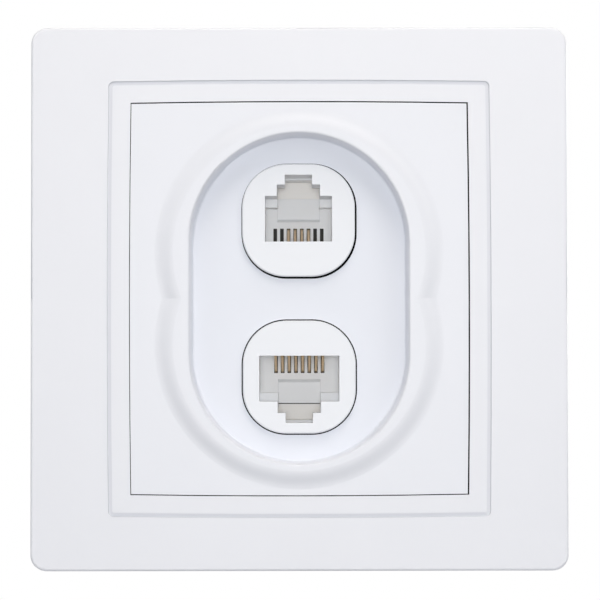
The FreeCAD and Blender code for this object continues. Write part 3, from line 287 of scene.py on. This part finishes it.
# Painted shade: darker, bluer colours towards the recess's floor, in the line round the frame and along the
# pocket's edges in a jack.
paintedShades = {
    "recess": (0.790, 0.808, 0.862, 1), "recessDepths": (-0.0085, -0.0062),
    "groove": (0.770, 0.778, 0.815, 1), "grooveDepths": (-0.00949, -0.0090),
    "grooveWithin": (0.0295, 0.0335), "grooveOutside": (0.0262, 0.0302),
    "pocket": (0.70, 0.71, 0.72, 1), "pocketDepths": (0.0035, 0.0042), "pocketAmount": 0.7,
    "pocketSide": (0.00314, 0.00326), "pocketRows": (-0.0040, -0.00036),
}


def middleOf(name):
    low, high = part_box(name)
    return (low[0] + high[0]) / 2, (low[2] + high[2]) / 2


def pastCore(finish, x, z, middle):
    # how far a point lies outside a cap's square core, which makes round corners
    over = [finish.maths("MAXIMUM", finish.fromMiddle(value, spot) - gaps["capCore"], 0.0)
            for value, spot in ((x, middle[0]), (z, middle[1]))]
    return finish.maths("SQRT", over[0] * over[0] + over[1] * over[1])


# painted shade on a cap's side walls down in the gap round it
def capGap(cap):
    def hollow(finish):
        x, y, z = finish.axes()
        reach = pastCore(finish, x, z, middleOf(cap))
        wall = finish.above(reach, gaps["capWall"])
        return wall * finish.between(y, *gaps["capDepths"]), gaps["gapShadeColour"]
    return hollow


def insideOf(finish, x, z, walls):
    within = [finish.below(finish.fromMiddle(value, 0.0), wall) for value, wall in zip((x, z), walls)]
    return within[0] * within[1]


def outsideOf(finish, x, z, walls):
    beside = [finish.above(finish.fromMiddle(value, 0.0), wall) for value, wall in zip((x, z), walls)]
    return finish.clamp(beside[0] + beside[1])


# painted shade on the walls of the plate's holes and round its rim, in the gaps
def plateGaps(finish):
    x, y, z = finish.axes()
    holes = [finish.below(pastCore(finish, x, z, middleOf(cap)), gaps["holeWall"])
             for cap in ("phone_jack_cap", "data_jack_cap")]
    hole = (holes[0] + holes[1]) * finish.between(y, *gaps["capDepths"])
    rim = outsideOf(finish, x, z, gaps["rimWall"]) * finish.between(y, *gaps["rimDepths"])
    return finish.clamp(hole + rim), gaps["gapShadeColour"]


# painted shade on the walls of the frame's opening, in the gap round the plate
def openingGap(finish):
    x, y, z = finish.axes()
    within = insideOf(finish, x, z, gaps["openingWall"])
    return within * finish.between(y, *gaps["rimDepths"]), gaps["gapShadeColour"]


# painted shade in the comb slots and, for the data jack, a thin painted shadow line at the pocket's end
def combSlots(cap, towardsContacts, slit=False):
    def hollow(finish):
        x, y, z = finish.axes()
        across, up = middleOf(cap)
        height, beside = towardsContacts * (z - up), finish.fromMiddle(x, across)
        row = finish.between(height, *gaps["combRows"]) * finish.between(y, *gaps["combDepths"])
        dark = row * finish.below(beside, gaps["combReach"])
        if slit:
            line = finish.between(height, *gaps["slitRows"]) * finish.between(y, *gaps["slitDepths"])
            dark = finish.clamp(dark + line * finish.below(beside, gaps["slitReach"]))
        return dark, gaps["slotShadeColour"]
    return hollow


# painted shade, darker and bluer with depth towards the recess's floor
def paintedRecessShade(finish):
    x, y, z = finish.axes()
    low, high = paintedShades["recessDepths"]
    return finish.clamp((y - low) * (1.0 / (high - low))), paintedShades["recess"]


# painted shade in the groove round the frame
def paintedGrooveShade(finish):
    x, y, z = finish.axes()
    outside = outsideOf(finish, x, z, paintedShades["grooveOutside"])
    line = insideOf(finish, x, z, paintedShades["grooveWithin"]) * outside
    return line * finish.between(y, *paintedShades["grooveDepths"]), paintedShades["groove"]


# painted shade lines along the pocket's side edges in a jack's housing
def paintedPocketShade(cap, towardsContacts):
    def shade(finish):
        x, y, z = finish.axes()
        across, up = middleOf(cap)
        side = finish.between(finish.fromMiddle(x, across), *paintedShades["pocketSide"])
        row = finish.between(towardsContacts * (z - up), *paintedShades["pocketRows"])
        edge = side * row * finish.between(y, *paintedShades["pocketDepths"])
        return paintedShades["pocketAmount"] * edge, paintedShades["pocket"]
    return shade


# Nodes with a finish of their own: the plastic, its hollow with painted shade in gaps and slots, and its
# painted shade colour.
hollows = {
    "phone_jack_cap": ("capPlastic", capGap("phone_jack_cap"), None),
    "data_jack_cap": ("capPlastic", capGap("data_jack_cap"), None),
    "centre_plate": ("platePlastic", plateGaps, paintedRecessShade),
    "cover_frame": ("coverPlastic", openingGap, paintedGrooveShade),
}
for jack, towardsContacts, slit in (("phone", -1.0, False), ("data", 1.0, True)):
    cap = f"{jack}_jack_cap"
    slots, pocket = combSlots(cap, towardsContacts, slit), paintedPocketShade(cap, towardsContacts)
    hollows[f"{jack}_jack_housing"] = ("housingPlastic", slots, pocket)
    hollows[f"{jack}_contact_block"] = ("creamPlastic", slots, None)
for name, (plastic, hollow, shade) in hollows.items():
    finishes[name] = makePlastic(name + "Plastic", plastics[plastic], hollow, shade)
print("finishes made:", len(finishes))


# The other nodes' finishes, by the start of the node's name.
startFinishes = {
    "module_carrier": "housingPlastic", "mounting_plate": "zincSheet", "carrier_screws": "zincScrew",
    "circuit_board": "boardLacquer", "phone_terminal_block": "terminalPlastic",
    "data_terminal_block": "terminalPlastic", "terminal_screws": "zincScrew", "terminal_cage": "brass",
    "terminal_blade": "tinnedBronze", "claw_screw": "zincScrew", "claw_pin": "zincScrew", "claw": "zincSheet",
    "phone_contact": "giltWire", "data_contact": "giltWire",
}


def finishFor(name):
    if name in hollows:
        return name
    return next(finish for start, finish in startFinishes.items() if name.startswith(start))


for name, piece in nodes.items():
    for slot in piece.material_slots:
        slot.material = finishes[finishFor(name)]
print("nodes dressed")


def makePiece(name, bm, finish, body):
    # Turns a finished bmesh into a piece that rides on a body.
    bmesh.ops.recalc_face_normals(bm, faces=bm.faces)
    mesh = bpy.data.meshes.new(name)
    bm.to_mesh(mesh)
    bm.free()
    mesh.materials.append(finishes[finish])
    piece = bpy.data.objects.new(name, mesh)
    scene.collection.objects.link(piece)
    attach(piece, body)


threadLook = {
    "shank": 0.0015,         # radius of the claw screw's shank
    "root": -0.00008, "crest": 0.00011,      # of the ridge, out from the shank's surface
    "pitch": 0.0005, "width": 0.00042,
    "from": 0.0009,          # depth at which the ridge starts
    "short": 0.0003,         # how far it stops short of the screw's end
    "turnSteps": 20,
}


def makeThread(side, look):
    # The ridge of a screw thread, wound round the shank of a claw screw.
    low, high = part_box(f"claw_screw_{side}")
    middle = Vector(((low[0] + high[0]) / 2, 0, (low[2] + high[2]) / 2))
    bm = bmesh.new()
    half = look["width"] / 2
    corners = [(look["root"], -half), (look["crest"], 0), (look["root"], half)]
    verts = [bm.verts.new(middle + Vector((look["shank"] + out, look["from"] + along, 0)))
             for out, along in corners]
    edges = [bm.edges.new((verts[i], verts[(i + 1) % 3])) for i in range(3)]
    steps = int((high[1] - look["short"] - look["from"]) / look["pitch"] * look["turnSteps"])
    bmesh.ops.spin(bm, geom=verts + edges, cent=middle, axis=(0, 1, 0), steps=steps,
                   angle=math.tau * steps / look["turnSteps"],
                   dvec=(0, look["pitch"] / look["turnSteps"], 0))
    ends = [edge for edge in bm.edges if edge.is_boundary]
    bmesh.ops.holes_fill(bm, edges=ends, sides=3)
    makePiece(f"claw_thread_{side}", bm, "zincScrew", f"claw_screw_{side}")


for side in ("left", "right"):
    makeThread(side, threadLook)


solderLook = {
    "base": 0.00046, "top": 0.00026,         # radii
    "height": 0.00065, "sunk": 0.00004, "sides": 20,
}


def makeSolder(look):
    # One joint round the tail of every contact wire, on the back of the board.
    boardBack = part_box("circuit_board")[1][1]
    bm = bmesh.new()
    for name in sorted(nodes):
        jack, _, number = name.partition("_contact_")
        if not number.isdigit():
            continue
        low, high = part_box(name)
        wire = (high[0] - low[0]) / 2
        up = low[2] + wire if jack == "phone" else high[2] - wire
        place = Vector((low[0] + wire, boardBack + look["height"] / 2 - look["sunk"], up))
        turned = Matrix.Translation(place) @ Matrix.Rotation(-math.pi / 2, 4, "X")
        bmesh.ops.create_cone(bm, cap_ends=True, segments=look["sides"], radius1=look["base"],
                              radius2=look["top"], depth=look["height"], matrix=turned)
    makePiece("solder_joints", bm, "solder", "socket")


makeSolder(solderLook)
print("threads and solder joints made")


white = (1, 1, 1, 1)
floorLook = {
    "height": -0.095, "reach": 0.34, "sides": 96, "colour": (0.60, 0.61, 0.63, 1), "roughness": 0.9,
    "paleness": 0.75,         # how much of the floor's look to the camera is plain white
}


def makeFloor(look):
    bm = bmesh.new()
    bmesh.ops.create_circle(bm, cap_ends=True, segments=look["sides"], radius=look["reach"])
    bmesh.ops.translate(bm, vec=(0, 0, look["height"]), verts=bm.verts)
    mesh = bpy.data.meshes.new("floor")
    bm.to_mesh(mesh)
    bm.free()
    floor = bpy.data.objects.new("floor", mesh)
    scene.collection.objects.link(floor)
    finish = Finish("palePaper", {"Base Color": look["colour"], "Roughness": look["roughness"]})
    seen = finish.node("ShaderNodeLightPath", output="Is Camera Ray")
    plainWhite = finish.node("ShaderNodeEmission", {}, {"Color": white, "Strength": 1.0})
    finish.overlay(look["paleness"] * seen, plainWhite)
    mesh.materials.append(finish.material)


# The sky's light on the object. The camera and mirrors see plain white in its place.
skyLook = {"colour": (0.975, 0.995, 1.03, 1), "strength": 0.24}


def makeSky(look):
    world = bpy.data.worlds.new("paleRoom")
    scene.world = world
    world.use_nodes = True
    tree = world.node_tree
    tree.nodes.clear()
    path = tree.nodes.new("ShaderNodeLightPath")
    seen = path.outputs["Is Camera Ray"]
    for ray in ("Is Glossy Ray", "Is Transmission Ray"):
        either = tree.nodes.new("ShaderNodeMath")
        either.operation = "MAXIMUM"
        tree.links.new(seen, either.inputs[0])
        tree.links.new(path.outputs[ray], either.inputs[1])
        seen = either.outputs[0]
    mixed = tree.nodes.new("ShaderNodeMixShader")
    tree.links.new(seen, mixed.inputs[0])
    for slot, (colour, strength) in enumerate([(look["colour"], look["strength"]), (white, 1.0)], start=1):
        light = tree.nodes.new("ShaderNodeBackground")
        light.inputs["Color"].default_value = colour
        light.inputs["Strength"].default_value = strength
        tree.links.new(light.outputs[0], mixed.inputs[slot])
    output = tree.nodes.new("ShaderNodeOutputWorld")
    tree.links.new(mixed.outputs[0], output.inputs["Surface"])


coolWhite, warmWhite = (0.985, 1.0, 1.025), (1.06, 1.0, 0.92)
lamps = {
    "front": {"place": (0.0, -0.90, 0.0), "size": 0.15, "power": 2.0, "colour": coolWhite},
    "overhead": {"place": (0.028, -0.152, 0.291), "size": 0.21, "power": 0.49, "colour": warmWhite},
    "right": {"place": (0.45, -0.40, 0.15), "size": 0.35, "power": 0.57, "colour": coolWhite},
    "left": {"place": (-0.45, -0.40, 0.15), "size": 0.35, "power": 0.41, "colour": coolWhite},
    "behind": {"place": (0.52, 0.60, 0.10), "size": 0.40, "power": 2.2, "colour": white[:3]},
}


def makeLamp(name, look):
    lamp = bpy.data.lights.new(name, "AREA")
    lamp.shape = "DISK"
    lamp.size = look["size"]
    lamp.energy = look["power"]
    lamp.color = look["colour"]
    piece = bpy.data.objects.new(name, lamp)
    scene.collection.objects.link(piece)
    spot = Vector(look["place"])
    towardsObject = (-spot).to_track_quat("-Z", "Y").to_matrix().to_4x4()
    piece.matrix_world = Matrix.Translation(spot) @ towardsObject


makeFloor(floorLook)
makeSky(skyLook)
for lampName, lampLook in lamps.items():
    makeLamp(lampName, lampLook)
lightBounces = 16         # the pale wells of the jacks need more of them than usual
scene.cycles.max_bounces = lightBounces
scene.cycles.diffuse_bounces = lightBounces
print("floor, sky and lamps ready")
